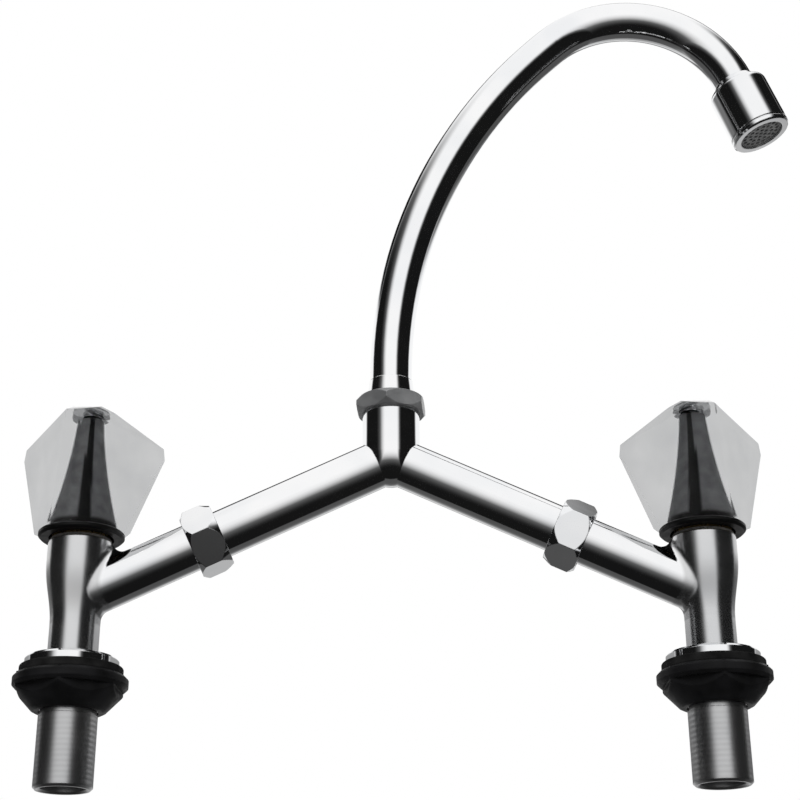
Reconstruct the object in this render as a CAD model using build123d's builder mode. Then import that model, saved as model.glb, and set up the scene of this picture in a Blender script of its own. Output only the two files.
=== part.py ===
from build123d import *

import os
from math import cos, pi, radians, sin, tan

# Two-handle basin mixer with a bridge and a swan-neck swivel spout.
# Millimetres, +Z up, X along the bridge, the front faces -Y.
# The origin is on the deck plane, midway between the two tails.

# Driving dimensions of the whole mixer
HALF_SPACING = 113.0
TAIL_END_Z = -42.5
BRANCH_Z = 25.3
ARM_RISE_DEG = 24.9
ARM_R = 8.75
ARM_BORE_R = 5.5

# Tap pillar
TAIL_THREAD_R = 10.45
TAIL_PLAIN_R = 10.3
TAIL_PLAIN_TOP_Z = -17.2
TAIL_GROOVE_TOP_Z = -15.2
TAIL_GROOVE_R = 9.8
TAIL_BORE_R = 8.0
FLANGE_R = 16.5
FLANGE_THICK = 3.2
POST_R = 8.9
FLARE_START_Z = 15.0
FLARE_END_Z = 38.0
CHAMBER_R = 11.75
CHAMBER_TOP_Z = 46.0
THREAD_BORE_R = 9.3
VALVE_BORE_R = 7.5
VALVE_FLOOR_Z = 23.0
SEAT_Z = 24.0
SEAT_HOLE_R = 4.5
SEAT_BLOCK_THICK = 3.0
BRANCH_FILLET = 4.0
BRANCH_BORE_START = 6.0

# Washer and back nut under the deck flange
WASHER_R = 18.2
WASHER_THICK = 3.2
NUT_FLANGE_R = 20.2
NUT_FLANGE_THICK = 4.6
NUT_ACROSS_FLATS = 34.0
NUT_END_Z = -15.8

# Headgear
SEAL_THICK = 0.8
BONNET_THREAD_BOTTOM_Z = 36.5
BONNET_SKIRT_BOTTOM_Z = 33.0
BONNET_SKIRT_R = 7.2
BONNET_HEX_AF = 19.0
BONNET_HEX_TOP_Z = 50.8
BONNET_NECK_R = 6.5
BONNET_TOP_Z = 57.5
CARRIER_AF = 9.45
CARRIER_FIT = 0.075
CARRIER_TOP_Z = 37.3
COLLAR_BOTTOM_Z = 41.8
COLLAR_TOP_Z = 43.3
COLLAR_R = 4.65
SPINDLE_R = 4.5
SPINDLE_FIT = 0.05
STEM_R = 3.0
STEM_BOTTOM_Z = 35.2
SPLINE_TOP_Z = 67.0
SPLINE_TIP_R = 4.0
SPLINE_ROOT_R = 3.6
SPLINE_TEETH = 20

# Handle
RING_BOTTOM_Z = 47.4
RING_TOP_Z = 49.6
RING_R = 15.6
LINER_TIP_Z = 93.5
KNOB_SHOULDER_R = 29.6
KNOB_BASE_R = 17.6
KNOB_SHOULDER_Z = 82.6
KNOB_SHOULDER_BAND = 4.6
KNOB_TOP_Z = 96.9
KNOB_TOP_R = 9.2
KNOB_LOBES = 3
LOBE_HALF_DEG = 5.0
LOBE_BASE_HALF_DEG = 28.5
LOBE_TOP_HALF_DEG = 37.0
LOBE_TURN_DEG = 30.0
KNOB_GAP = 0.3
SCREW_R = 2.0
SCREW_TIP_Z = 57.0
SCREW_HEAD_THICK = 1.7
SCREW_HEAD_R = 3.7
CAP_RECESS_R = 6.5
CAP_FLOOR_Z = 94.5

# Union between branch and bridge arm, as distances along the arm from the pillar axis.
# The right-hand union sits a little further in than the left-hand one.
UNION_AF = 22.8
UNION_STARTS = {-1: 44.3, 1: 46.9}
UNION_LENGTH = 12.0
BOSS_R = 10.0
BOSS_INSET = 0.8
BOSS_LENGTH = 5.1
UNION_SEAL_THICK = 0.9
UNION_COLLAR_R = 9.7
UNION_COLLAR_THICK = 2.2
RIGHT_NUT_TURN_DEG = 22.0

# Spout socket, nut and ferrule
YOKE_BEND_R = 10.0
SOCKET_R = 10.7
SOCKET_TOP_Z = 98.5
SOCKET_BORE_R = 8.75
SOCKET_BORE_BOTTOM_Z = 77.5
SPOUT_NUT_AF = 24.4
SPOUT_NUT_BOTTOM_Z = 95.2
SPOUT_NUT_TOP_Z = 101.4
SPOUT_NUT_LIP = 2.0
SPOUT_NUT_TURN_DEG = -6.0
FERRULE_R = 8.7
FERRULE_BOTTOM_Z = 79.0
COUNTERBORE_R = 9.95
COUNTERBORE_FLOOR_Z = 96.4
SHOULDER_TOP_Z = 98.6
SLEEVE_R = 8.9

# Swan neck: two tangent arcs in the plane of the pillars
TUBE_R = 7.9
TUBE_BORE_R = 6.7
TUBE_FOOT_Z = 93.0
NECK_START_Z = 110.0
NECK_ARC_R = 202.0
NECK_ARC_DEG = 48.0
CROWN_ARC_R = 46.0
CROWN_END_DEG = 160.0

# Outlet, as distances along the outlet axis from the end of the crown arc
TUBE_TAIL = 8.0
ADAPTER_START = 0.6
ADAPTER_R = 10.1
HOUSING_R = 11.9
HOUSING_START = 2.9
HOUSING_LENGTH = 24.4
HOUSING_LIP = 1.4
HOUSING_RIM = 1.8
ADAPTER_END = 13.0
AERATOR_SEAL_THICK = 1.6
OUTLET_R = 8.9

MOVING_GAP = 0.05
SIDES = {"left": -1, "right": 1}
ARM_COS = cos(radians(ARM_RISE_DEG))
ARM_SIN = sin(radians(ARM_RISE_DEG))


def write(piece, node):
    """Labels a finished piece and writes it under its node's name."""
    piece.part.label = node
    export_step(piece.part, f"parts/{node}.step")


def post_axis(side):
    """The upright axis of one tap pillar."""
    return Axis((side * HALF_SPACING, 0, 0), (0, 0, 1))


def arm_axis(side):
    """The sloping axis of one branch, from the pillar towards the middle."""
    return Axis((side * HALF_SPACING, 0, BRANCH_Z), (-side * ARM_COS, 0, ARM_SIN))


SPOUT_AXIS = Axis((0, 0, 0), (0, 0, 1))


def boss_end(side):
    """How far the branch's threaded end reaches along the arm."""
    return UNION_STARTS[side] + BOSS_INSET + BOSS_LENGTH


def cross_plane(axis, along):
    """A plane square to an axis, at a distance along it, with its x towards the front."""
    origin = axis.position + axis.direction * along
    return Plane(origin=origin, x_dir=(0, -1, 0), z_dir=axis.direction)


def turned_face(axis, points):
    """A closed profile for turning: points are (radius, distance along the axis)."""
    out = axis.direction
    plane = Plane(origin=axis.position, x_dir=(out.Z, 0, -out.X), z_dir=(0, -1, 0))
    with BuildSketch(plane) as face:
        with BuildLine():
            Polyline(*points, close=True)
        make_face()
    return face.sketch


def ring_face(axis, inner, outer, start, end):
    """The profile of a plain ring."""
    return turned_face(axis, [(inner, start), (outer, start), (outer, end), (inner, end)])


def nut_envelope(axis, flats, start, end, slope):
    """A turned profile whose coned ends take the corners off a hexagon."""
    flat_r = flats / 2
    corner_r = flat_r / cos(pi / 6)
    drop = corner_r - flat_r
    points = [(0, start), (flat_r, start), (corner_r, start + 1.2 * drop)]
    points += [(corner_r, end - slope * drop), (flat_r, end), (0, end)]
    return turned_face(axis, points)


def pillar_body(name, side):
    """Brass casting: tail, deck flange, flared post, sloping branch and valve chamber."""
    axis = post_axis(side)
    arm = arm_axis(side)
    edge = 0.8
    cove = 1.8
    seat_bevel = 1.0
    with BuildPart() as pillar:
        with BuildSketch(Plane(origin=axis.position, x_dir=(1, 0, 0), z_dir=(0, -1, 0))):
            with BuildLine():
                Polyline(
                    (0, CHAMBER_TOP_Z),
                    (0, TAIL_END_Z),
                    (TAIL_PLAIN_R - edge, TAIL_END_Z),
                    (TAIL_PLAIN_R, TAIL_END_Z + edge),
                    (TAIL_PLAIN_R, TAIL_PLAIN_TOP_Z),
                    (TAIL_GROOVE_R, TAIL_PLAIN_TOP_Z),
                    (TAIL_GROOVE_R, TAIL_GROOVE_TOP_Z),
                    (TAIL_THREAD_R, TAIL_GROOVE_TOP_Z),
                    (TAIL_THREAD_R, 0),
                    (FLANGE_R, 0),
                    (FLANGE_R, FLANGE_THICK - edge),
                    (FLANGE_R - edge, FLANGE_THICK),
                    (POST_R + cove, FLANGE_THICK),
                    (POST_R, FLANGE_THICK + cove),
                    (POST_R, FLARE_START_Z),
                )
                Spline(
                    (POST_R, FLARE_START_Z),
                    (CHAMBER_R, FLARE_END_Z),
                    tangents=((0, 1), (0, 1)),
                )
                Polyline(
                    (CHAMBER_R, FLARE_END_Z),
                    (CHAMBER_R, CHAMBER_TOP_Z - 0.5),
                    (CHAMBER_R - 0.5, CHAMBER_TOP_Z),
                    (0, CHAMBER_TOP_Z),
                )
            make_face()
        revolve(axis=axis)
        with BuildSketch(cross_plane(arm, 0)):
            Circle(ARM_R)
        extrude(amount=UNION_STARTS[side] + BOSS_INSET)
        saddle = pillar.edges().filter_by(GeomType.BSPLINE)
        fillet(saddle, BRANCH_FILLET)
        with BuildSketch(cross_plane(arm, boss_end(side))):
            Circle(BOSS_R)
        extrude(amount=-BOSS_LENGTH)
        revolve(
            turned_face(
                axis,
                [
                    (0, TAIL_END_Z),
                    (TAIL_BORE_R + edge, TAIL_END_Z),
                    (TAIL_BORE_R, TAIL_END_Z + edge),
                    (TAIL_BORE_R, 0),
                    (ARM_BORE_R, FLANGE_THICK),
                    (ARM_BORE_R, VALVE_FLOOR_Z - SEAT_BLOCK_THICK),
                    (SEAT_HOLE_R, VALVE_FLOOR_Z - SEAT_BLOCK_THICK + seat_bevel),
                    (SEAT_HOLE_R, SEAT_Z),
                    (SEAT_HOLE_R + seat_bevel, SEAT_Z),
                    (SEAT_HOLE_R + 2 * seat_bevel, VALVE_FLOOR_Z),
                    (VALVE_BORE_R, VALVE_FLOOR_Z),
                    (VALVE_BORE_R, BONNET_THREAD_BOTTOM_Z - 2.0),
                    (THREAD_BORE_R, BONNET_THREAD_BOTTOM_Z - 0.5),
                    (THREAD_BORE_R, CHAMBER_TOP_Z),
                    (0, CHAMBER_TOP_Z),
                ],
            ),
            axis=axis,
            mode=Mode.SUBTRACT,
        )
        with BuildSketch(cross_plane(arm, BRANCH_BORE_START)):
            Circle(ARM_BORE_R)
        extrude(amount=boss_end(side), mode=Mode.SUBTRACT)
    write(pillar, name)


def deck_washer(name, side):
    """Rubber washer between the flange and the deck."""
    axis = post_axis(side)
    with BuildPart() as washer:
        revolve(ring_face(axis, TAIL_THREAD_R + 0.1, WASHER_R, -WASHER_THICK, 0), axis=axis)
        fillet(washer.edges().filter_by(GeomType.CIRCLE).group_by(SortBy.RADIUS)[-1], 0.6)
    write(washer, name)


def back_nut(name, side):
    """Moulded nut on the tail: a round flange above a coned hexagon."""
    axis = post_axis(side)
    flange_bottom = -WASHER_THICK - NUT_FLANGE_THICK
    edge = 1.1
    tip_r = 13.2
    with BuildPart() as nut:
        with BuildSketch(cross_plane(axis, NUT_END_Z)):
            RegularPolygon(NUT_ACROSS_FLATS / 2, 6, major_radius=False)
        extrude(amount=-WASHER_THICK - NUT_END_Z)
        revolve(
            turned_face(
                axis,
                [
                    (0, NUT_END_Z),
                    (tip_r - edge, NUT_END_Z),
                    (tip_r, NUT_END_Z + edge / 2),
                    (NUT_FLANGE_R, flange_bottom),
                    (NUT_FLANGE_R, -WASHER_THICK),
                    (0, -WASHER_THICK),
                ],
            ),
            axis=axis,
            mode=Mode.INTERSECT,
        )
        revolve(
            turned_face(
                axis,
                [
                    (0, flange_bottom),
                    (NUT_FLANGE_R - edge, flange_bottom),
                    (NUT_FLANGE_R, flange_bottom + edge),
                    (NUT_FLANGE_R, -WASHER_THICK - edge),
                    (NUT_FLANGE_R - edge, -WASHER_THICK),
                    (0, -WASHER_THICK),
                ],
            ),
            axis=axis,
        )
        with BuildSketch(cross_plane(axis, NUT_END_Z)):
            Circle(TAIL_THREAD_R + MOVING_GAP)
        extrude(amount=-WASHER_THICK - NUT_END_Z, mode=Mode.SUBTRACT)
    write(nut, name)


def bonnet_seal(name, side):
    """Fibre ring under the headgear's hexagon."""
    axis = post_axis(side)
    top = CHAMBER_TOP_Z + SEAL_THICK
    with BuildPart() as seal:
        revolve(ring_face(axis, THREAD_BORE_R, CHAMBER_R - 0.6, CHAMBER_TOP_Z, top), axis=axis)
    write(seal, name)


def bonnet(name, side):
    """Headgear body: thread, hexagon, neck, spindle bore and the hexagonal carrier guide."""
    axis = post_axis(side)
    hex_bottom = CHAMBER_TOP_Z + SEAL_THICK
    thread_r = THREAD_BORE_R - MOVING_GAP
    edge = 0.4
    with BuildPart() as body:
        revolve(
            turned_face(
                axis,
                [
                    (0, BONNET_SKIRT_BOTTOM_Z),
                    (BONNET_SKIRT_R, BONNET_SKIRT_BOTTOM_Z),
                    (BONNET_SKIRT_R, BONNET_THREAD_BOTTOM_Z),
                    (thread_r, BONNET_THREAD_BOTTOM_Z),
                    (thread_r, hex_bottom),
                    (BONNET_NECK_R, hex_bottom),
                    (BONNET_NECK_R, BONNET_TOP_Z - edge),
                    (BONNET_NECK_R - edge, BONNET_TOP_Z),
                    (0, BONNET_TOP_Z),
                ],
            ),
            axis=axis,
        )
        with BuildSketch(cross_plane(axis, hex_bottom)):
            RegularPolygon(BONNET_HEX_AF / 2, 6, major_radius=False)
        extrude(amount=BONNET_HEX_TOP_Z - hex_bottom)
        with BuildSketch(cross_plane(axis, BONNET_SKIRT_BOTTOM_Z)):
            RegularPolygon(CARRIER_AF / 2 + CARRIER_FIT, 6, major_radius=False)
        extrude(amount=COLLAR_TOP_Z + MOVING_GAP - BONNET_SKIRT_BOTTOM_Z, mode=Mode.SUBTRACT)
        with BuildSketch(cross_plane(axis, COLLAR_TOP_Z)):
            Circle(SPINDLE_R + SPINDLE_FIT)
        extrude(amount=BONNET_TOP_Z - COLLAR_TOP_Z, mode=Mode.SUBTRACT)
    write(body, name)


# Heights of the spindle's two O-ring grooves
SPINDLE_GROOVES = (47.0, 53.0)
GROOVE_WIDTH = 1.7
GROOVE_R = 3.25
CLIP_BOTTOM_Z = 57.7
CLIP_THICK = 0.8
CLIP_GROOVE_R = 3.6
COLLAR_BEVEL = 0.5


def spline_outline(growth):
    """The toothed outline of the spindle's top, grown evenly for the socket."""
    points = []
    for tooth in range(SPLINE_TEETH):
        for half, radius in ((0, SPLINE_TIP_R + growth), (0.5, SPLINE_ROOT_R + growth)):
            angle = 2 * pi * (tooth + half) / SPLINE_TEETH
            points.append((radius * cos(angle), radius * sin(angle)))
    return points


def spindle(name, side):
    """Brass spindle: threaded stem, collar, grooved journal and toothed top."""
    axis = post_axis(side)
    profile = [
        (0, STEM_BOTTOM_Z),
        (STEM_R, STEM_BOTTOM_Z),
        (STEM_R, COLLAR_BOTTOM_Z),
        (COLLAR_R, COLLAR_BOTTOM_Z),
        (COLLAR_R, COLLAR_TOP_Z),
        (SPINDLE_R, COLLAR_TOP_Z),
    ]
    for groove in SPINDLE_GROOVES:
        profile += [
            (SPINDLE_R, groove),
            (GROOVE_R, groove),
            (GROOVE_R, groove + GROOVE_WIDTH),
            (SPINDLE_R, groove + GROOVE_WIDTH),
        ]
    clip_top = CLIP_BOTTOM_Z + CLIP_THICK
    profile += [
        (SPINDLE_R, CLIP_BOTTOM_Z),
        (CLIP_GROOVE_R, CLIP_BOTTOM_Z),
        (CLIP_GROOVE_R, clip_top),
        (SPLINE_TIP_R, clip_top),
        (SPLINE_TIP_R, clip_top + COLLAR_BEVEL),
        (0, clip_top + COLLAR_BEVEL),
    ]
    with BuildPart() as stem:
        revolve(turned_face(axis, profile), axis=axis)
        with BuildSketch(cross_plane(axis, clip_top)):
            Polygon(*spline_outline(0), align=None)
        extrude(amount=SPLINE_TOP_Z - clip_top)
        with BuildSketch(cross_plane(axis, SCREW_TIP_Z - 0.5)):
            Circle(SCREW_R + MOVING_GAP)
        extrude(amount=SPLINE_TOP_Z, mode=Mode.SUBTRACT)
    write(stem, name)


def spindle_o_rings(name, side):
    """Two rubber O-rings in the spindle's grooves."""
    axis = post_axis(side)
    section = 0.62
    with BuildPart() as rings:
        for groove in SPINDLE_GROOVES:
            with BuildSketch(Plane(origin=axis.position, x_dir=(1, 0, 0), z_dir=(0, -1, 0))):
                with Locations((GROOVE_R + section + 0.01, groove + GROOVE_WIDTH / 2)):
                    Circle(section)
        revolve(axis=axis)
    write(rings, name)


def spindle_clip(name, side):
    """Open spring clip that rests on the bonnet and keeps the spindle down."""
    axis = post_axis(side)
    with BuildPart() as clip:
        revolve(
            ring_face(
                axis,
                CLIP_GROOVE_R + 0.05,
                SPINDLE_R + 0.9,
                CLIP_BOTTOM_Z + 0.05,
                CLIP_BOTTOM_Z + CLIP_THICK - 0.05,
            ),
            axis=axis,
        )
        with BuildSketch(cross_plane(axis, CLIP_BOTTOM_Z)):
            with Locations((SPINDLE_R, 0)):
                Rectangle(5.0, 5.6)
        extrude(amount=CLIP_THICK, mode=Mode.SUBTRACT)
    write(clip, name)


WASHER_DISC_R = 6.0
WASHER_TOP_Z = 27.0
CARRIER_DISC_THICK = 1.2
WASHER_SCREW_R = 1.6
SCREW_HOLE_DEPTH = 3.5


def valve_carrier(name, side):
    """Hexagonal carrier with a disc for the tap washer and a threaded bore for the stem."""
    axis = post_axis(side)
    disc_top = WASHER_TOP_Z + CARRIER_DISC_THICK
    with BuildPart() as carrier:
        with BuildSketch(cross_plane(axis, WASHER_TOP_Z)):
            Circle(WASHER_DISC_R + 0.1)
        extrude(amount=CARRIER_DISC_THICK)
        with BuildSketch(cross_plane(axis, disc_top)):
            RegularPolygon(CARRIER_AF / 2, 6, major_radius=False)
        extrude(amount=CARRIER_TOP_Z - disc_top)
        with BuildSketch(cross_plane(axis, WASHER_TOP_Z)):
            Circle(WASHER_SCREW_R + MOVING_GAP)
        extrude(amount=SCREW_HOLE_DEPTH, mode=Mode.SUBTRACT)
        with BuildSketch(cross_plane(axis, WASHER_TOP_Z + SCREW_HOLE_DEPTH)):
            Circle(STEM_R + MOVING_GAP)
        extrude(amount=CARRIER_TOP_Z, mode=Mode.SUBTRACT)
    write(carrier, name)


def tap_washer(name, side):
    """Rubber washer that closes on the seat."""
    axis = post_axis(side)
    with BuildPart() as washer:
        revolve(
            ring_face(
                axis, WASHER_SCREW_R + 0.1, WASHER_DISC_R, SEAT_Z + MOVING_GAP, WASHER_TOP_Z
            ),
            axis=axis,
        )
    write(washer, name)


def washer_screw(name, side):
    """Small screw that holds the tap washer to its carrier."""
    axis = post_axis(side)
    head_top = SEAT_Z + MOVING_GAP
    head_bottom = head_top - 1.8
    head_r = 2 * WASHER_SCREW_R
    edge = 0.6
    tip = WASHER_TOP_Z + SCREW_HOLE_DEPTH - 0.2
    with BuildPart() as screw:
        revolve(
            turned_face(
                axis,
                [
                    (0, head_bottom),
                    (head_r - edge, head_bottom),
                    (head_r, head_bottom + edge),
                    (head_r, head_top),
                    (WASHER_SCREW_R, head_top),
                    (WASHER_SCREW_R, tip),
                    (0, tip),
                ],
            ),
            axis=axis,
        )
        with BuildSketch(cross_plane(axis, head_bottom)):
            Rectangle(2 * head_r, 0.8)
        extrude(amount=edge, mode=Mode.SUBTRACT)
    write(screw, name)


# The liner's bell-shaped outline, as (radius, height), from the ring to the tip
LINER_OUTLINE = ((13.4, RING_TOP_Z), (10.2, 60.5), (7.1, 74.0), (4.3, LINER_TIP_Z))
LINER_CAVITY_R = 11.8
LINER_NECK_R = 7.4
SOCKET_START_Z = 59.2


def handle_liner(name, side):
    """Black conical liner with its rim ring, hollow over the headgear."""
    axis = post_axis(side)
    with BuildPart() as liner:
        with BuildSketch(Plane(origin=axis.position, x_dir=(1, 0, 0), z_dir=(0, -1, 0))):
            with BuildLine():
                Polyline(
                    (0, LINER_TIP_Z),
                    (0, RING_BOTTOM_Z),
                    (RING_R - 0.8, RING_BOTTOM_Z),
                    (RING_R, RING_BOTTOM_Z + 0.8),
                    (RING_R, RING_TOP_Z - 0.4),
                    (RING_R - 0.4, RING_TOP_Z),
                    LINER_OUTLINE[0],
                )
                Spline(*LINER_OUTLINE)
                Line(LINER_OUTLINE[-1], (0, LINER_TIP_Z))
            make_face()
        revolve(axis=axis)
        revolve(
            turned_face(
                axis,
                [
                    (0, RING_BOTTOM_Z),
                    (LINER_CAVITY_R, RING_BOTTOM_Z),
                    (LINER_CAVITY_R, BONNET_HEX_TOP_Z + 0.6),
                    (LINER_NECK_R, BONNET_HEX_TOP_Z + 2.4),
                    (LINER_NECK_R, SOCKET_START_Z),
                    (0, SOCKET_START_Z),
                ],
            ),
            axis=axis,
            mode=Mode.SUBTRACT,
        )
        with BuildSketch(cross_plane(axis, SOCKET_START_Z)):
            Polygon(*spline_outline(MOVING_GAP), align=None)
        extrude(amount=SPLINE_TOP_Z + 0.4 - SOCKET_START_Z, mode=Mode.SUBTRACT)
        with BuildSketch(cross_plane(axis, SPLINE_TOP_Z)):
            Circle(SCREW_R + 0.2)
        extrude(amount=LINER_TIP_Z, mode=Mode.SUBTRACT)
    write(liner, name)


def lobed_outline(radius, half_deg):
    """Corners of a triangle with its points cut off, with one lobe to the front."""
    points = []
    for lobe in range(KNOB_LOBES):
        middle = LOBE_TURN_DEG + 360 / KNOB_LOBES * lobe
        for sign in (-1, 1):
            angle = radians(middle + sign * half_deg)
            points.append((radius * cos(angle), radius * sin(angle)))
    return points


def handle_knob(name, side):
    """Clear three-lobed handle: flat sides that widen upwards and a low facetted top."""
    axis = post_axis(side)
    levels = [
        (RING_TOP_Z, KNOB_BASE_R, LOBE_BASE_HALF_DEG),
        (KNOB_SHOULDER_Z, KNOB_SHOULDER_R, LOBE_HALF_DEG),
        (KNOB_SHOULDER_Z + KNOB_SHOULDER_BAND, KNOB_SHOULDER_R - 0.6, LOBE_HALF_DEG),
        (KNOB_TOP_Z, KNOB_TOP_R, LOBE_TOP_HALF_DEG),
    ]
    with BuildPart() as knob:
        for height, radius, half in levels:
            with BuildSketch(Plane((side * HALF_SPACING, 0, height))):
                Polygon(*lobed_outline(radius, half), align=None)
        loft(ruled=True)
        fillet(knob.edges(), 0.5)
        inner = [(radius + KNOB_GAP, height) for radius, height in LINER_OUTLINE]
        with BuildSketch(Plane(origin=axis.position, x_dir=(1, 0, 0), z_dir=(0, -1, 0))):
            with BuildLine():
                Polyline((0, LINER_TIP_Z), (0, RING_TOP_Z), inner[0])
                Spline(*inner)
                Line(inner[-1], (0, LINER_TIP_Z))
            make_face()
        revolve(axis=axis, mode=Mode.SUBTRACT)
        with BuildSketch(cross_plane(axis, CAP_FLOOR_Z)):
            Circle(CAP_RECESS_R)
        extrude(amount=KNOB_TOP_Z, mode=Mode.SUBTRACT)
        with BuildSketch(cross_plane(axis, LINER_TIP_Z)):
            Circle(SCREW_R + 0.2)
        extrude(amount=KNOB_TOP_Z, mode=Mode.SUBTRACT)
    write(knob, name)


def handle_screw(name, side):
    """Long pan-head screw from the handle's top into the spindle."""
    axis = post_axis(side)
    head_top = CAP_FLOOR_Z + SCREW_HEAD_THICK
    with BuildPart() as screw:
        revolve(
            turned_face(
                axis,
                [
                    (0, SCREW_TIP_Z),
                    (SCREW_R, SCREW_TIP_Z),
                    (SCREW_R, CAP_FLOOR_Z),
                    (SCREW_HEAD_R, CAP_FLOOR_Z),
                    (SCREW_HEAD_R, head_top - 0.8),
                    (SCREW_HEAD_R - 0.9, head_top),
                    (0, head_top),
                ],
            ),
            axis=axis,
        )
        for turn in (0, 90):
            with BuildSketch(cross_plane(axis, head_top)):
                Rectangle(4.4, 0.9, rotation=turn)
            extrude(amount=-1.3, mode=Mode.SUBTRACT)
    write(screw, name)


def handle_cap(name, side):
    """Low domed cap in the top of the handle."""
    axis = post_axis(side)
    outer = CAP_RECESS_R - 0.1
    inner = SCREW_HEAD_R + 0.3
    ceiling = CAP_FLOOR_Z + SCREW_HEAD_THICK + 0.2
    floor = CAP_FLOOR_Z + MOVING_GAP
    dome = 0.9
    dome_r = (outer**2 + dome**2) / (2 * dome)
    with BuildPart() as cap:
        with BuildSketch(cross_plane(axis, floor)):
            Circle(outer)
        extrude(amount=KNOB_TOP_Z + dome - floor)
        with Locations((side * HALF_SPACING, 0, KNOB_TOP_Z + dome - dome_r)):
            Sphere(dome_r, mode=Mode.INTERSECT)
        with BuildSketch(cross_plane(axis, floor)):
            Circle(inner)
        extrude(amount=ceiling - floor, mode=Mode.SUBTRACT)
    write(cap, name)


def union_nut(name, side):
    """Hexagon union nut: threaded on the branch, its lip behind the arm's collar."""
    arm = arm_axis(side)
    start = UNION_STARTS[side]
    end = start + UNION_LENGTH
    lip_start = boss_end(side) + UNION_SEAL_THICK + UNION_COLLAR_THICK
    turn = 0 if side < 0 else RIGHT_NUT_TURN_DEG
    with BuildPart() as nut:
        with BuildSketch(cross_plane(arm, start)):
            RegularPolygon(UNION_AF / 2, 6, major_radius=False, rotation=turn)
        extrude(amount=UNION_LENGTH)
        revolve(nut_envelope(arm, UNION_AF, start, end, 2.2), axis=arm, mode=Mode.INTERSECT)
        with BuildSketch(cross_plane(arm, start)):
            Circle(BOSS_R + MOVING_GAP)
        extrude(amount=lip_start - start, mode=Mode.SUBTRACT)
        with BuildSketch(cross_plane(arm, lip_start)):
            Circle(ARM_R + 0.1)
        extrude(amount=UNION_LENGTH, mode=Mode.SUBTRACT)
    write(nut, name)


def union_seal(name, side):
    """Fibre ring squeezed between the branch and the arm's collar."""
    arm = arm_axis(side)
    start = boss_end(side)
    end = start + UNION_SEAL_THICK
    with BuildPart() as seal:
        revolve(ring_face(arm, ARM_BORE_R, UNION_COLLAR_R, start, end), axis=arm)
    write(seal, name)


def bridge_yoke(name):
    """Y casting: two arms bent from one tube, end collars, and a socket with a ball foot."""
    arm_start = {side: boss_end(side) + UNION_SEAL_THICK for side in SIDES.values()}
    left_end, right_end = (cross_plane(arm_axis(side), arm_start[side]).origin for side in (-1, 1))
    apex_z = BRANCH_Z + HALF_SPACING * tan(radians(ARM_RISE_DEG))
    slant = SOCKET_R * sin(pi / 4)
    with BuildPart() as yoke:
        with BuildLine():
            FilletPolyline(left_end, (0, 0, apex_z), right_end, radius=YOKE_BEND_R)
        with BuildSketch(cross_plane(arm_axis(-1), arm_start[-1])):
            Circle(ARM_R)
        sweep()
        with BuildSketch(Plane.XZ):
            with BuildLine():
                ThreePointArc(
                    (0, apex_z - SOCKET_R), (slant, apex_z - slant), (SOCKET_R, apex_z)
                )
                Polyline(
                    (SOCKET_R, apex_z),
                    (SOCKET_R, SOCKET_TOP_Z),
                    (0, SOCKET_TOP_Z),
                    (0, apex_z - SOCKET_R),
                )
            make_face()
        revolve(axis=SPOUT_AXIS)
        for side in SIDES.values():
            with BuildSketch(cross_plane(arm_axis(side), arm_start[side])):
                Circle(UNION_COLLAR_R)
            extrude(amount=UNION_COLLAR_THICK)
        with BuildSketch(Plane.XY.offset(SOCKET_BORE_BOTTOM_Z)):
            Circle(SOCKET_BORE_R)
        extrude(amount=SOCKET_TOP_Z, mode=Mode.SUBTRACT)
        with BuildSketch(Plane.XY.offset(COUNTERBORE_FLOOR_Z)):
            Circle(COUNTERBORE_R)
        extrude(amount=SOCKET_TOP_Z, mode=Mode.SUBTRACT)
        for side in SIDES.values():
            with BuildSketch(cross_plane(arm_axis(side), arm_start[side])):
                Circle(ARM_BORE_R)
            extrude(amount=HALF_SPACING / ARM_COS - arm_start[side], mode=Mode.SUBTRACT)
    write(yoke, name)


def spout_nut(name):
    """Hexagon nut with a lip that keeps the spout's shoulder in the socket."""
    axis = SPOUT_AXIS
    height = SPOUT_NUT_TOP_Z - SPOUT_NUT_BOTTOM_Z
    with BuildPart() as nut:
        with BuildSketch(cross_plane(axis, SPOUT_NUT_BOTTOM_Z)):
            RegularPolygon(
                SPOUT_NUT_AF / 2, 6, major_radius=False, rotation=SPOUT_NUT_TURN_DEG
            )
        extrude(amount=height)
        envelope = nut_envelope(axis, SPOUT_NUT_AF, SPOUT_NUT_BOTTOM_Z, SPOUT_NUT_TOP_Z, 1.2)
        revolve(envelope, axis=axis, mode=Mode.INTERSECT)
        with BuildSketch(Plane.XY.offset(SPOUT_NUT_BOTTOM_Z)):
            Circle(SOCKET_R + MOVING_GAP)
        extrude(amount=height - SPOUT_NUT_LIP, mode=Mode.SUBTRACT)
        with BuildSketch(Plane.XY.offset(SPOUT_NUT_BOTTOM_Z)):
            Circle(SLEEVE_R + 0.2)
        extrude(amount=height, mode=Mode.SUBTRACT)
    write(nut, name)


def spout_bearing(name):
    """Nylon ring between the spout's shoulder and the nut's lip."""
    top = SPOUT_NUT_TOP_Z - SPOUT_NUT_LIP
    with BuildPart() as ring:
        revolve(
            ring_face(SPOUT_AXIS, SLEEVE_R + 0.1, SOCKET_R - 0.1, SHOULDER_TOP_Z + 0.05, top),
            axis=SPOUT_AXIS,
        )
    write(ring, name)


FERRULE_BORE_R = 5.8
SLEEVE_TOP_Z = 108.5
FERRULE_GROOVES = (82.2, 87.2)
FERRULE_GROOVE_WIDTH = 1.9
FERRULE_GROOVE_R = 7.25


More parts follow.
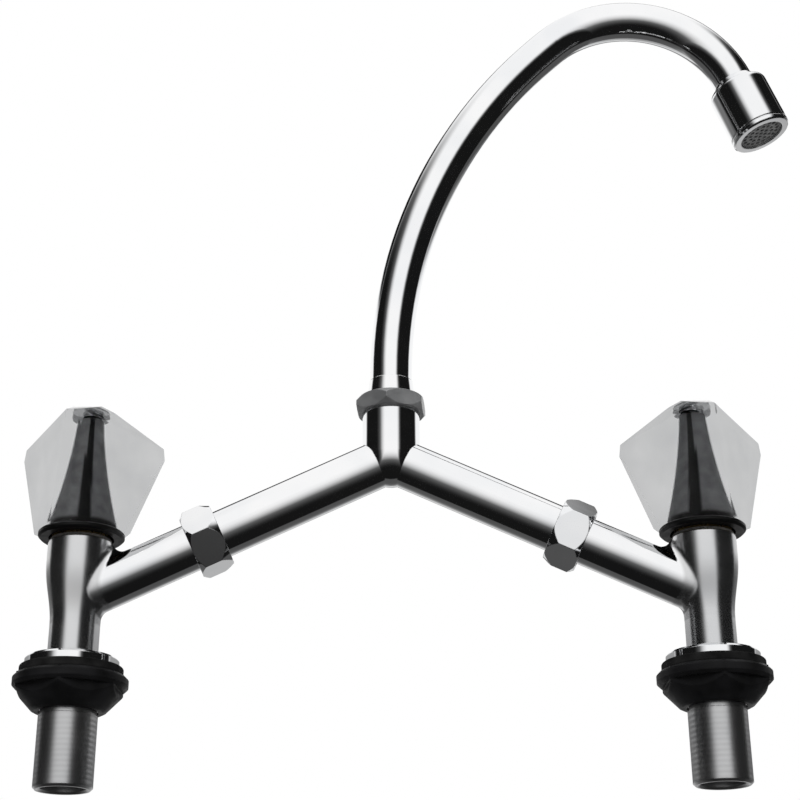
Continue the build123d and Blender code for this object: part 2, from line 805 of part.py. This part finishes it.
def spout_ferrule(name):
    """Turned foot of the spout: grooved journal, shoulder and tapered sleeve."""
    edge = 0.5
    profile = [
        (FERRULE_BORE_R, FERRULE_BOTTOM_Z),
        (FERRULE_R - edge, FERRULE_BOTTOM_Z),
        (FERRULE_R, FERRULE_BOTTOM_Z + edge),
    ]
    for groove in FERRULE_GROOVES:
        profile += [
            (FERRULE_R, groove),
            (FERRULE_GROOVE_R, groove),
            (FERRULE_GROOVE_R, groove + FERRULE_GROOVE_WIDTH),
            (FERRULE_R, groove + FERRULE_GROOVE_WIDTH),
        ]
    profile += [
        (FERRULE_R, COUNTERBORE_FLOOR_Z + MOVING_GAP),
        (COUNTERBORE_R - MOVING_GAP, COUNTERBORE_FLOOR_Z + MOVING_GAP),
        (COUNTERBORE_R - MOVING_GAP, SHOULDER_TOP_Z),
        (SLEEVE_R, SHOULDER_TOP_Z),
        (SLEEVE_R, SPOUT_NUT_TOP_Z + 1.5),
        (TUBE_R + 0.3, SLEEVE_TOP_Z),
        (TUBE_R, SLEEVE_TOP_Z),
        (TUBE_R, TUBE_FOOT_Z),
        (FERRULE_BORE_R, TUBE_FOOT_Z),
    ]
    with BuildPart() as ferrule:
        revolve(turned_face(SPOUT_AXIS, profile), axis=SPOUT_AXIS)
    write(ferrule, name)


def spout_o_rings(name):
    """Two rubber O-rings that seal the spout in its socket."""
    section = 0.72
    with BuildPart() as rings:
        for groove in FERRULE_GROOVES:
            with BuildSketch(Plane.XZ):
                with Locations(
                    (FERRULE_GROOVE_R + section + 0.01, groove + FERRULE_GROOVE_WIDTH / 2)
                ):
                    Circle(section)
        revolve(axis=SPOUT_AXIS)
    write(rings, name)


def crown_centre():
    """Centre of the upper arc of the swan neck, as (x, z)."""
    lean = radians(NECK_ARC_DEG)
    reach = NECK_ARC_R - (NECK_ARC_R - CROWN_ARC_R) * cos(lean)
    rise = NECK_START_Z + (NECK_ARC_R - CROWN_ARC_R) * sin(lean)
    return reach, rise


def outlet_axis():
    """The axis that the water leaves along, from the end of the upper arc."""
    lean = radians(CROWN_END_DEG)
    x, z = crown_centre()
    end = (x - CROWN_ARC_R * cos(lean), 0, z + CROWN_ARC_R * sin(lean))
    return Axis(end, (sin(lean), 0, cos(lean)))


def spout_tube(name):
    """Swan neck: a straight foot, a long gentle arc, a tight crown and a short outlet."""
    outlet = outlet_axis()
    crown_x, crown_z = crown_centre()
    with BuildPart() as neck:
        with BuildLine(Plane.XZ):
            foot = Line((0, TUBE_FOOT_Z), (0, NECK_START_Z))
            rise = RadiusArc(
                foot @ 1,
                (
                    crown_x - CROWN_ARC_R * cos(radians(NECK_ARC_DEG)),
                    crown_z + CROWN_ARC_R * sin(radians(NECK_ARC_DEG)),
                ),
                NECK_ARC_R,
            )
            crown = ThreePointArc(
                rise @ 1,
                (crown_x, crown_z + CROWN_ARC_R),
                (outlet.position.X, outlet.position.Z),
            )
            tip = outlet.position + outlet.direction * TUBE_TAIL
            Line(crown @ 1, (tip.X, tip.Z))
        with BuildSketch(Plane.XY.offset(TUBE_FOOT_Z)):
            Circle(TUBE_R)
            Circle(TUBE_BORE_R, mode=Mode.SUBTRACT)
        sweep()
    write(neck, name)


def outlet_adapter(name):
    """Threaded collar soldered on the spout's end."""
    axis = outlet_axis()
    with BuildPart() as adapter:
        revolve(
            turned_face(
                axis,
                [
                    (TUBE_R, ADAPTER_START),
                    (TUBE_R + 0.4, ADAPTER_START),
                    (ADAPTER_R, HOUSING_START + 0.2),
                    (ADAPTER_R, ADAPTER_END),
                    (TUBE_BORE_R, ADAPTER_END),
                    (TUBE_BORE_R, TUBE_TAIL),
                    (TUBE_R, TUBE_TAIL),
                ],
            ),
            axis=axis,
        )
    write(adapter, name)


def aerator_housing(name):
    """Round cap on the outlet: a rounded shoulder, a plain side and a stepped rim."""
    axis = outlet_axis()
    out = axis.direction
    end = HOUSING_START + HOUSING_LENGTH
    bore = ADAPTER_R + MOVING_GAP
    step = 0.3
    rim = end - HOUSING_RIM
    shoulder = HOUSING_START + 2.6
    with BuildPart() as housing:
        with BuildSketch(
            Plane(origin=axis.position, x_dir=(out.Z, 0, -out.X), z_dir=(0, -1, 0))
        ):
            with BuildLine():
                ThreePointArc(
                    (bore, HOUSING_START),
                    (bore + 1.0, HOUSING_START + 0.7),
                    (HOUSING_R, shoulder),
                )
                Polyline(
                    (HOUSING_R, shoulder),
                    (HOUSING_R, rim - 3 * step),
                    (HOUSING_R - step, rim - 2 * step),
                    (HOUSING_R - step, rim - step),
                    (HOUSING_R, rim),
                    (HOUSING_R, end - 2 * step),
                    (HOUSING_R - 2 * step, end),
                    (OUTLET_R, end),
                    (OUTLET_R, end - HOUSING_LIP),
                    (bore, end - HOUSING_LIP),
                    (bore, HOUSING_START),
                )
            make_face()
        revolve(axis=axis)
    write(housing, name)


def aerator_seal(name):
    """Rubber ring between the adapter and the aerator insert."""
    axis = outlet_axis()
    with BuildPart() as seal:
        end = ADAPTER_END + AERATOR_SEAL_THICK
        revolve(ring_face(axis, TUBE_BORE_R, ADAPTER_R - 0.1, ADAPTER_END, end), axis=axis)
    write(seal, name)


MESH_HOLE_R = 0.85
MESH_PITCH = 2.35


def aerator_insert(name):
    """Moulded cup with a grille of small holes across the outlet."""
    axis = outlet_axis()
    seat = HOUSING_START + HOUSING_LENGTH - HOUSING_LIP
    start = ADAPTER_END + AERATOR_SEAL_THICK
    wall = 1.7
    grille_top = seat - wall
    with BuildPart() as insert:
        revolve(
            turned_face(
                axis,
                [
                    (0, grille_top),
                    (ADAPTER_R - wall, grille_top),
                    (ADAPTER_R - wall, start + wall),
                    (TUBE_BORE_R, start),
                    (ADAPTER_R - 0.1, start),
                    (ADAPTER_R - 0.1, seat),
                    (OUTLET_R - 0.1, seat),
                    (OUTLET_R - 0.1, seat + 0.5),
                    (0, seat + 0.5),
                ],
            ),
            axis=axis,
        )
        with BuildSketch(cross_plane(axis, grille_top)):
            Circle(MESH_HOLE_R)
            for ring in (1, 2, 3):
                with PolarLocations(ring * MESH_PITCH, 6 * ring):
                    Circle(MESH_HOLE_R)
        extrude(amount=2 * wall, mode=Mode.SUBTRACT)
    write(insert, name)


os.makedirs("parts", exist_ok=True)

SIDE_PIECES = (
    pillar_body,
    deck_washer,
    back_nut,
    bonnet_seal,
    bonnet,
    spindle,
    spindle_o_rings,
    spindle_clip,
    valve_carrier,
    tap_washer,
    washer_screw,
    handle_liner,
    handle_knob,
    handle_screw,
    handle_cap,
    union_nut,
    union_seal,
)
CENTRE_PIECES = (
    bridge_yoke,
    spout_nut,
    spout_bearing,
    spout_ferrule,
    spout_o_rings,
    spout_tube,
    outlet_adapter,
    aerator_housing,
    aerator_seal,
    aerator_insert,
)

for word, sign in SIDES.items():
    for make in SIDE_PIECES:
        make(f"{word}_{make.__name__}", sign)

for make in CENTRE_PIECES:
    make(make.__name__)
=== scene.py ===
from math import radians

import bpy
from mathutils import Euler, Matrix, Vector

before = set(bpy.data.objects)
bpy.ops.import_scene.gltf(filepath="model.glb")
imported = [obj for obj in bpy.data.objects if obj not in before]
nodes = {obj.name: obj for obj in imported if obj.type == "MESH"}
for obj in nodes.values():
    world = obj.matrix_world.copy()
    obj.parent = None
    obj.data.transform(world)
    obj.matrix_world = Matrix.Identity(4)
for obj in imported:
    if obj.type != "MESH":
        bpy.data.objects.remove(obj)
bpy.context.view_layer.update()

# The studio. The mixer is photographed from below on plain white: the camera stands in front,
# under the deck plane, and looks up.
CAMERA_PLACE = (0.0092, -0.5550, -0.1341)
CAMERA_PITCH, CAMERA_TURN, CAMERA_ROLL = 23.0, 0.6, -0.33
CAMERA_LENS, CAMERA_SENSOR, CAMERA_NEAR = 72.0, 36.0, 0.01

camera = bpy.data.cameras.new("camera")
camera.lens, camera.sensor_width, camera.clip_start = CAMERA_LENS, CAMERA_SENSOR, CAMERA_NEAR
holder = bpy.data.objects.new("camera", camera)
bpy.context.collection.objects.link(holder)
aim = Euler((radians(90 + CAMERA_PITCH), 0, radians(CAMERA_TURN))).to_matrix().to_4x4()
roll = Matrix.Rotation(radians(CAMERA_ROLL), 4, "Z")
holder.matrix_world = Matrix.Translation(CAMERA_PLACE) @ aim @ roll
bpy.context.scene.camera = holder
bpy.context.scene.view_settings.view_transform = "Standard"

# The room, which chrome shows as bands: white in front, behind and overhead, and dark where a
# card stands at either side, over the ground, in a beam high at the back and on the rear horizon.
# Each pair is the span of a direction's X, Y or Z, from -1 to 1, over which a shade fades.
LEFT_CARD, RIGHT_CARD = (-0.80, -0.34), (0.36, 0.62)
GROUND, REAR_GROUND, REAR_GROUND_SHADE = (-0.80, 0.32), (0.08, 0.32), 0.8
FRONT_END = (0.28, 0.48)
BEAM_FOOT, BEAM_TOP, BEAM_FRONT, BEAM_GAP = (0.50, 0.58), (0.72, 0.84), (0.25, 0.45), (0.03, 0.12)
HORIZON_FOOT, HORIZON_TOP, HORIZON_SHADE = (-0.06, 0.06), (0.20, 0.34), 0.66
ROOM_GREYS = [(0.0, 1.0), (0.35, 0.62), (0.7, 0.12), (1.0, 0.008)]
ROOM_LIGHT = 0.55
WHITE = (1, 1, 1, 1)


def add_node(tree, kind, **settings):
    """Adds a node and sets its fields, or its inputs where a key names one by number."""
    node = tree.nodes.new(kind)
    for key, value in settings.items():
        if key.startswith("input_"):
            node.inputs[int(key[6:])].default_value = value
        else:
            setattr(node, key, value)
    return node


def ramp(tree, source, stops):
    """A colour ramp fed by a socket, from (position, grey or colour) stops."""
    node = tree.nodes.new("ShaderNodeValToRGB")
    while len(node.color_ramp.elements) < len(stops):
        node.color_ramp.elements.new(0.5)
    for element, (place, shade) in zip(node.color_ramp.elements, stops):
        element.position = place
        element.color = (shade, shade, shade, 1) if isinstance(shade, float) else (*shade, 1)
    tree.links.new(source, node.inputs[0])
    return node.outputs[0]


def fade(tree, source, span, start, end):
    """Goes smoothly from one value to another as a socket crosses a span."""
    node = add_node(tree, "ShaderNodeMapRange", interpolation_type="SMOOTHSTEP")
    levels = {"From Min": span[0], "From Max": span[1], "To Min": start, "To Max": end}
    for key, value in levels.items():
        node.inputs[key].default_value = value
    tree.links.new(source, node.inputs["Value"])
    return node.outputs[0]


def combine(tree, operation, one, two):
    """One math node on two sockets."""
    node = add_node(tree, "ShaderNodeMath", operation=operation)
    tree.links.new(one, node.inputs[0])
    tree.links.new(two, node.inputs[1])
    return node.outputs[0]


room = bpy.data.worlds.new("room")
bpy.context.scene.world = room
room.use_nodes = True
tree = room.node_tree
tree.nodes.clear()
toward = add_node(tree, "ShaderNodeTexCoord")
direction = add_node(tree, "ShaderNodeSeparateXYZ")
tree.links.new(toward.outputs["Generated"], direction.inputs[0])
across, along, upward = direction.outputs
aside = add_node(tree, "ShaderNodeMath", operation="ABSOLUTE")
tree.links.new(across, aside.inputs[0])

cards = combine(tree, "MAXIMUM", fade(tree, across, RIGHT_CARD, 0.0, 1.0),
                fade(tree, across, LEFT_CARD, 1.0, 0.0))
low_or_aside = combine(tree, "MAXIMUM", cards, fade(tree, upward, GROUND, 1.0, 0.0))
reach = combine(tree, "MAXIMUM", fade(tree, along, FRONT_END, 1.0, 0.0),
                fade(tree, upward, REAR_GROUND, REAR_GROUND_SHADE, 0.0))
around = combine(tree, "MULTIPLY", low_or_aside, reach)
beam_height = combine(tree, "MULTIPLY", fade(tree, upward, BEAM_FOOT, 0.0, 1.0),
                      fade(tree, upward, BEAM_TOP, 1.0, 0.0))
beam_sides = combine(tree, "MULTIPLY", fade(tree, along, BEAM_FRONT, 0.0, 1.0),
                     fade(tree, aside.outputs[0], BEAM_GAP, 0.0, 1.0))
beam = combine(tree, "MULTIPLY", beam_height, beam_sides)
horizon_height = combine(tree, "MULTIPLY", fade(tree, upward, HORIZON_FOOT, 0.0, 1.0),
                         fade(tree, upward, HORIZON_TOP, HORIZON_SHADE, 0.0))
horizon = combine(tree, "MULTIPLY", fade(tree, along, FRONT_END, 0.0, 1.0), horizon_height)
dark = combine(tree, "MAXIMUM", combine(tree, "MAXIMUM", around, beam), horizon)

mirrored = add_node(tree, "ShaderNodeBackground")
tree.links.new(ramp(tree, dark, ROOM_GREYS), mirrored.inputs["Color"])
lighting = add_node(tree, "ShaderNodeBackground", input_0=WHITE, input_1=ROOM_LIGHT)
backdrop = add_node(tree, "ShaderNodeBackground", input_0=WHITE)
path = add_node(tree, "ShaderNodeLightPath")
shown = lighting.outputs[0]
for ray, seen in (("Glossy", mirrored), ("Transmission", backdrop), ("Camera", backdrop)):
    choice = add_node(tree, "ShaderNodeMixShader")
    tree.links.new(path.outputs[f"Is {ray} Ray"], choice.inputs[0])
    tree.links.new(shown, choice.inputs[1])
    tree.links.new(seen.outputs[0], choice.inputs[2])
    shown = choice.outputs[0]
room_out = add_node(tree, "ShaderNodeOutputWorld")
tree.links.new(shown, room_out.inputs["Surface"])

# Two softboxes in front give plain soft light: where each stands, its side and its power. They
# aren't mirrored, as the room above holds all that the chrome shows.
SOFTBOXES = {"key_softbox": ((-0.55, -0.75, 0.75), 0.7, 9.0),
             "fill_softbox": ((0.75, -0.55, 0.35), 0.6, 5.0)}
LAMPS_AIM_AT = Vector((0, 0, 0.1))

for name, (place, side_length, power) in SOFTBOXES.items():
    lamp = bpy.data.lights.new(name, "AREA")
    lamp.shape, lamp.size, lamp.energy = "SQUARE", side_length, power
    stand = bpy.data.objects.new(name, lamp)
    bpy.context.collection.objects.link(stand)
    stand.location = place
    stand.visible_glossy = False
    stand.rotation_euler = (LAMPS_AIM_AT - Vector(place)).to_track_quat("-Z", "Y").to_euler()

# The floor: a sheet of pale paper on the ground, well under the tails. The camera looks up at
# the mixer, so the floor shows only in views from above.
FLOOR_Z, FLOOR_SIDE = -0.75, 0.9


def new_shader(name, **values):
    """A new material with one Principled shader; keys are its sockets with _ for blanks."""
    material = bpy.data.materials.new(name)
    material.use_nodes = True
    surface = material.node_tree.nodes["Principled BSDF"]
    for key, value in values.items():
        surface.inputs[key.replace("_", " ")].default_value = value
    return material


def add_pattern(tree, kind, scale, **settings):
    """A texture node on object coordinates."""
    place = tree.nodes.get("place") or add_node(tree, "ShaderNodeTexCoord", name="place")
    pattern = add_node(tree, kind, **settings)
    pattern.inputs["Scale"].default_value = scale
    tree.links.new(place.outputs["Object"], pattern.inputs["Vector"])
    return pattern.outputs["Fac"]


def mottle(material, socket, scale, spread, low, high):
    """Varies one of the shader's sockets from low to high in soft patches."""
    tree = material.node_tree
    patches = add_pattern(tree, "ShaderNodeTexNoise", scale)
    mixed = ramp(tree, patches, [(spread[0], low), (spread[1], high)])
    tree.links.new(mixed, tree.nodes["Principled BSDF"].inputs[socket])


def roughen(material, scale, strength, depth, kind="ShaderNodeTexNoise", **settings):
    """Adds a bump by a pattern, on top of any earlier bump."""
    tree = material.node_tree
    surface = tree.nodes["Principled BSDF"]
    bump = add_node(tree, "ShaderNodeBump")
    bump.inputs["Strength"].default_value = strength
    bump.inputs["Distance"].default_value = depth
    tree.links.new(add_pattern(tree, kind, scale, **settings), bump.inputs["Height"])
    if surface.inputs["Normal"].is_linked:
        tree.links.new(surface.inputs["Normal"].links[0].from_socket, bump.inputs["Normal"])
    tree.links.new(bump.outputs[0], surface.inputs["Normal"])


bpy.ops.mesh.primitive_plane_add(size=FLOOR_SIDE, location=(0, 0, FLOOR_Z))
floor = bpy.context.object
floor.name = "floor"
floor.visible_glossy = False
paper = new_shader("paper", Roughness=0.8)
mottle(paper, "Base Color", scale=60, spread=(0.3, 0.7),
       low=(0.91, 0.91, 0.91), high=(0.94, 0.94, 0.94))
roughen(paper, scale=900, strength=0.1, depth=0.0003)
floor.data.materials.append(paper)

# The chromed bridge with its socket, the union nuts and the whole spout outside: bright plate
# over polished brass, mirror smooth, with the faintest waviness from the polishing wheel and a
# few wiped-off water marks.
EDGE_SAMPLES = 4


def soften(material, radius):
    """Shows every sharp edge of the piece rounded by a radius."""
    tree = material.node_tree
    edge = add_node(tree, "ShaderNodeBevel", samples=EDGE_SAMPLES)
    edge.inputs["Radius"].default_value = radius
    tree.links.new(edge.outputs[0], tree.nodes["Principled BSDF"].inputs["Normal"])


def dress(names, material):
    """Gives carried-over CAD nodes a material in every slot."""
    for name in names:
        if not nodes[name].material_slots:
            nodes[name].data.materials.append(None)
        for entry in nodes[name].material_slots:
            entry.material = material


def both(*pieces):
    """The nodes of a piece on the left tap and on the right tap."""
    return [f"{side}_{piece}" for piece in pieces for side in ("left", "right")]


chrome = new_shader("chrome_plate", Metallic=1.0)
mottle(chrome, "Base Color", scale=45, spread=(0.35, 0.65),
       low=(0.86, 0.87, 0.885), high=(0.93, 0.93, 0.935))
mottle(chrome, "Roughness", scale=180, spread=(0.40, 0.75), low=0.03, high=0.07)
soften(chrome, radius=0.0004)
roughen(chrome, scale=70, strength=0.04, depth=0.0004)
dress(["bridge_yoke", *both("union_nut"), "spout_ferrule", "spout_tube", "outlet_adapter",
       "aerator_housing"], chrome)

# The pillars are brass castings with the same plate. The upright posts are less polished than
# the branches and the flanges. The plate thins out on the threaded tails under the deck, which
# are duller still and show the half-inch thread as fine even lines.
POST_X, POST_EDGE_R, POST_HAZE = 0.113, (0.0122, 0.0135), 0.65
THREAD_TOP, THREAD_PITCH, THREAD_DEPTH = (-0.016, -0.014), 0.001814, 0.00002
WAVE_PERIOD_AT_SCALE_1 = 0.314
HAZE_ROUGHNESS, HAZE_TINT = 0.27, (0.61, 0.61, 0.61, 1)

plated = chrome.copy()
plated.name = "pillar_plate"
tree = plated.node_tree
surface = tree.nodes["Principled BSDF"]
split = add_node(tree, "ShaderNodeSeparateXYZ")
tree.links.new(tree.nodes["place"].outputs["Object"], split.inputs[0])
on_tail = fade(tree, split.outputs["Z"], THREAD_TOP, 1.0, 0.0)
to_side = add_node(tree, "ShaderNodeMath", operation="ABSOLUTE")
tree.links.new(split.outputs["X"], to_side.inputs[0])
past_post = add_node(tree, "ShaderNodeMath", operation="SUBTRACT", input_1=POST_X)
tree.links.new(to_side.outputs[0], past_post.inputs[0])
off_axis = add_node(tree, "ShaderNodeCombineXYZ")
tree.links.new(past_post.outputs[0], off_axis.inputs["X"])
tree.links.new(split.outputs["Y"], off_axis.inputs["Y"])
radius = add_node(tree, "ShaderNodeVectorMath", operation="LENGTH")
tree.links.new(off_axis.outputs[0], radius.inputs[0])
on_post = fade(tree, radius.outputs["Value"], POST_EDGE_R, POST_HAZE, 0.0)
hazy = combine(tree, "MAXIMUM", on_tail, on_post)
worn = add_node(tree, "ShaderNodeMath", operation="MULTIPLY_ADD", input_1=HAZE_ROUGHNESS)
tree.links.new(hazy, worn.inputs[0])
tree.links.new(surface.inputs["Roughness"].links[0].from_socket, worn.inputs[2])
tree.links.new(worn.outputs[0], surface.inputs["Roughness"])
dull = add_node(tree, "ShaderNodeMix", data_type="RGBA", blend_type="MULTIPLY",
                input_7=HAZE_TINT)
tree.links.new(hazy, dull.inputs[0])
tree.links.new(surface.inputs["Base Color"].links[0].from_socket, dull.inputs[6])
tree.links.new(dull.outputs[2], surface.inputs["Base Color"])
threads = add_pattern(tree, "ShaderNodeTexWave", WAVE_PERIOD_AT_SCALE_1 / THREAD_PITCH,
                      bands_direction="Z")
cut = add_node(tree, "ShaderNodeBump")
cut.inputs["Distance"].default_value = THREAD_DEPTH
tree.links.new(combine(tree, "MULTIPLY", on_tail, threads), cut.inputs["Height"])
tree.links.new(surface.inputs["Normal"].links[0].from_socket, cut.inputs["Normal"])
tree.links.new(cut.outputs[0], surface.inputs["Normal"])
dress(both("pillar_body"), plated)

# The spout nut: plate over a forged and only lightly polished hexagon that has gone dull, so it
# reads as an even mid grey between the bright socket and the bright tube.
satin = new_shader("satin_plate", Metallic=0.6)
mottle(satin, "Base Color", scale=120, spread=(0.35, 0.65),
       low=(0.21, 0.213, 0.217), high=(0.28, 0.283, 0.287))
mottle(satin, "Roughness", scale=400, spread=(0.3, 0.7), low=0.30, high=0.42)
soften(satin, radius=0.0006)
roughen(satin, scale=1500, strength=0.05, depth=0.0002)
dress(["spout_nut"], satin)

# The back nuts under the deck: black injection-moulded nylon with a fine spark texture, a
# little paler where it has been handled.
moulding = new_shader("black_moulding", Specular_IOR_Level=0.08)
mottle(moulding, "Base Color", scale=90, spread=(0.3, 0.75),
       low=(0.003, 0.003, 0.003), high=(0.012, 0.012, 0.013))
mottle(moulding, "Roughness", scale=260, spread=(0.3, 0.7), low=0.32, high=0.5)
soften(moulding, radius=0.0008)
roughen(moulding, scale=2600, strength=0.15, depth=0.0002)
dress(both("back_nut"), moulding)

# The handles' liners: smooth dark grey moulded cones, each pushed up inside its handle, with
# painted shade near black round the brim. A painted dark reflection runs as a black stripe down
# the front, a little towards the middle of the mixer, as in the photo, where it may be a
# reflection. Its places are shares of a turn.
LINER_X = {"left": -POST_X, "right": POST_X}
REFLECTION_STRIPE_TURN = {"left": 0.294, "right": 0.201}
REFLECTION_STRIPE_SHADES = ((-0.045, 0.0), (-0.03, 1.0), (0.02, 1.0), (0.035, 0.0))
SHADED_BRIM_TOP = (0.0515, 0.0535)
NEAR_BLACK = (0.003, 0.003, 0.003, 1)

for side, middle in LINER_X.items():
    liner = new_shader(f"{side}_liner_black", Specular_IOR_Level=0.15)
    mottle(liner, "Base Color", scale=220, spread=(0.3, 0.7),
           low=(0.11, 0.11, 0.113), high=(0.17, 0.17, 0.173))
    mottle(liner, "Roughness", scale=300, spread=(0.3, 0.7), low=0.32, high=0.5)
    roughen(liner, scale=2600, strength=0.1, depth=0.0002)
    tree = liner.node_tree
    surface = tree.nodes["Principled BSDF"]
    place = tree.nodes["place"].outputs["Object"]
    centred = add_node(tree, "ShaderNodeMapping", input_1=(-middle, 0, 0))
    tree.links.new(place, centred.inputs["Vector"])
    turn = add_node(tree, "ShaderNodeTexGradient", gradient_type="RADIAL")
    tree.links.new(centred.outputs[0], turn.inputs["Vector"])
    # Painted reflection: a black stripe at a fixed turn round the liner.
    reflection_stripe = ramp(tree, turn.outputs["Fac"],
                  [(REFLECTION_STRIPE_TURN[side] + edge, shade) for edge, shade in REFLECTION_STRIPE_SHADES])
    split = add_node(tree, "ShaderNodeSeparateXYZ")
    tree.links.new(place, split.inputs[0])
    # Painted shade: near black below the brim height, on the rim's underside.
    shaded_brim = fade(tree, split.outputs["Z"], SHADED_BRIM_TOP, 1.0, 0.0)
    paint = add_node(tree, "ShaderNodeMix", data_type="RGBA", input_7=NEAR_BLACK)
    tree.links.new(combine(tree, "MAXIMUM", reflection_stripe, shaded_brim), paint.inputs[0])
    tree.links.new(surface.inputs["Base Color"].links[0].from_socket, paint.inputs[6])
    tree.links.new(paint.outputs[2], surface.inputs["Base Color"])
    dress([f"{side}_handle_liner"], liner)

# Rubber: the washers under the deck flanges, the tap washers on the seats, and every O-ring and
# seal. Moulded black rubber, matt, with the pale bloom that comes with age.
rubber = new_shader("rubber", Specular_IOR_Level=0.08)
mottle(rubber, "Base Color", scale=150, spread=(0.35, 0.7),
       low=(0.004, 0.004, 0.004), high=(0.014, 0.014, 0.014))
mottle(rubber, "Roughness", scale=500, spread=(0.3, 0.7), low=0.62, high=0.85)
roughen(rubber, scale=1800, strength=0.25, depth=0.0003)
dress([*both("deck_washer", "tap_washer", "spindle_o_rings"), "spout_o_rings", "aerator_seal"],
      rubber)

# The handles and their caps: acrylic in three broad lobes with flat sides and a low facetted
# top, tinted pale grey. It bends light far less than real acrylic, so the cone inside stays
# straight.
acrylic = new_shader("acrylic", IOR=1.03, Transmission_Weight=1.0)
mottle(acrylic, "Base Color", scale=60, spread=(0.3, 0.7),
       low=(0.50, 0.505, 0.51), high=(0.58, 0.583, 0.586))
mottle(acrylic, "Roughness", scale=220, spread=(0.3, 0.7), low=0.03, high=0.09)
soften(acrylic, radius=0.0008)
roughen(acrylic, scale=120, strength=0.05, depth=0.0003)
dress(both("handle_knob", "handle_cap"), acrylic)

# Bare brass inside: headgear, spindles, valve carriers and their screws. Turned on a lathe, so
# fine rings run round each piece, and the brass has dulled unevenly.
brass = new_shader("bare_brass", Metallic=1.0)
mottle(brass, "Base Color", scale=160, spread=(0.3, 0.7),
       low=(0.60, 0.43, 0.20), high=(0.78, 0.60, 0.32))
mottle(brass, "Roughness", scale=420, spread=(0.3, 0.7), low=0.22, high=0.42)
roughen(brass, scale=900, strength=0.12, depth=0.0002, kind="ShaderNodeTexWave",
        bands_direction="Z")
dress(both("bonnet", "spindle", "valve_carrier", "washer_screw"), brass)

# Steel: the spring clips on the spindles, from wire, and the long cold-headed handle screws.
# Unplated, so the surface is dull and a little uneven.
steel = new_shader("plain_steel", Metallic=1.0)
mottle(steel, "Base Color", scale=300, spread=(0.3, 0.7),
       low=(0.5, 0.5, 0.51), high=(0.68, 0.68, 0.69))
mottle(steel, "Roughness", scale=600, spread=(0.3, 0.7), low=0.22, high=0.4)
roughen(steel, scale=2200, strength=0.1, depth=0.0001)
dress(both("spindle_clip", "handle_screw"), steel)

# Fibre rings: one in each union and one under each headgear, stamped from pressed black fibre
# sheet with visible flecks, and squeezed flat by the nut above.
fibre = new_shader("fibre", Roughness=0.8)
mottle(fibre, "Base Color", scale=1600, spread=(0.35, 0.65),
       low=(0.03, 0.028, 0.026), high=(0.09, 0.083, 0.076))
roughen(fibre, scale=2400, strength=0.3, depth=0.0002)
dress(both("bonnet_seal", "union_seal"), fibre)

# The bearing ring under the spout nut's lip, which the spout's shoulder turns against: moulded
# nylon in its natural white, waxy and faintly see-through.
nylon = new_shader("nylon", Subsurface_Weight=0.2, Subsurface_Scale=0.001)
mottle(nylon, "Base Color", scale=500, spread=(0.3, 0.7),
       low=(0.80, 0.80, 0.76), high=(0.88, 0.88, 0.85))
mottle(nylon, "Roughness", scale=700, spread=(0.3, 0.7), low=0.34, high=0.48)
roughen(nylon, scale=1500, strength=0.08, depth=0.0002)
dress(["spout_bearing"], nylon)

# The aerator's insert: a dark grey moulded cup with a grille of round holes, held in by the
# housing, where scale from hard water first shows as paler patches.
acetal = new_shader("acetal")
mottle(acetal, "Base Color", scale=400, spread=(0.35, 0.8),
       low=(0.10, 0.102, 0.105), high=(0.2, 0.2, 0.195))
mottle(acetal, "Roughness", scale=800, spread=(0.3, 0.7), low=0.4, high=0.6)
roughen(acetal, scale=2500, strength=0.1, depth=0.0001)
dress(["aerator_insert"], acetal)

bpy.context.view_layer.update()
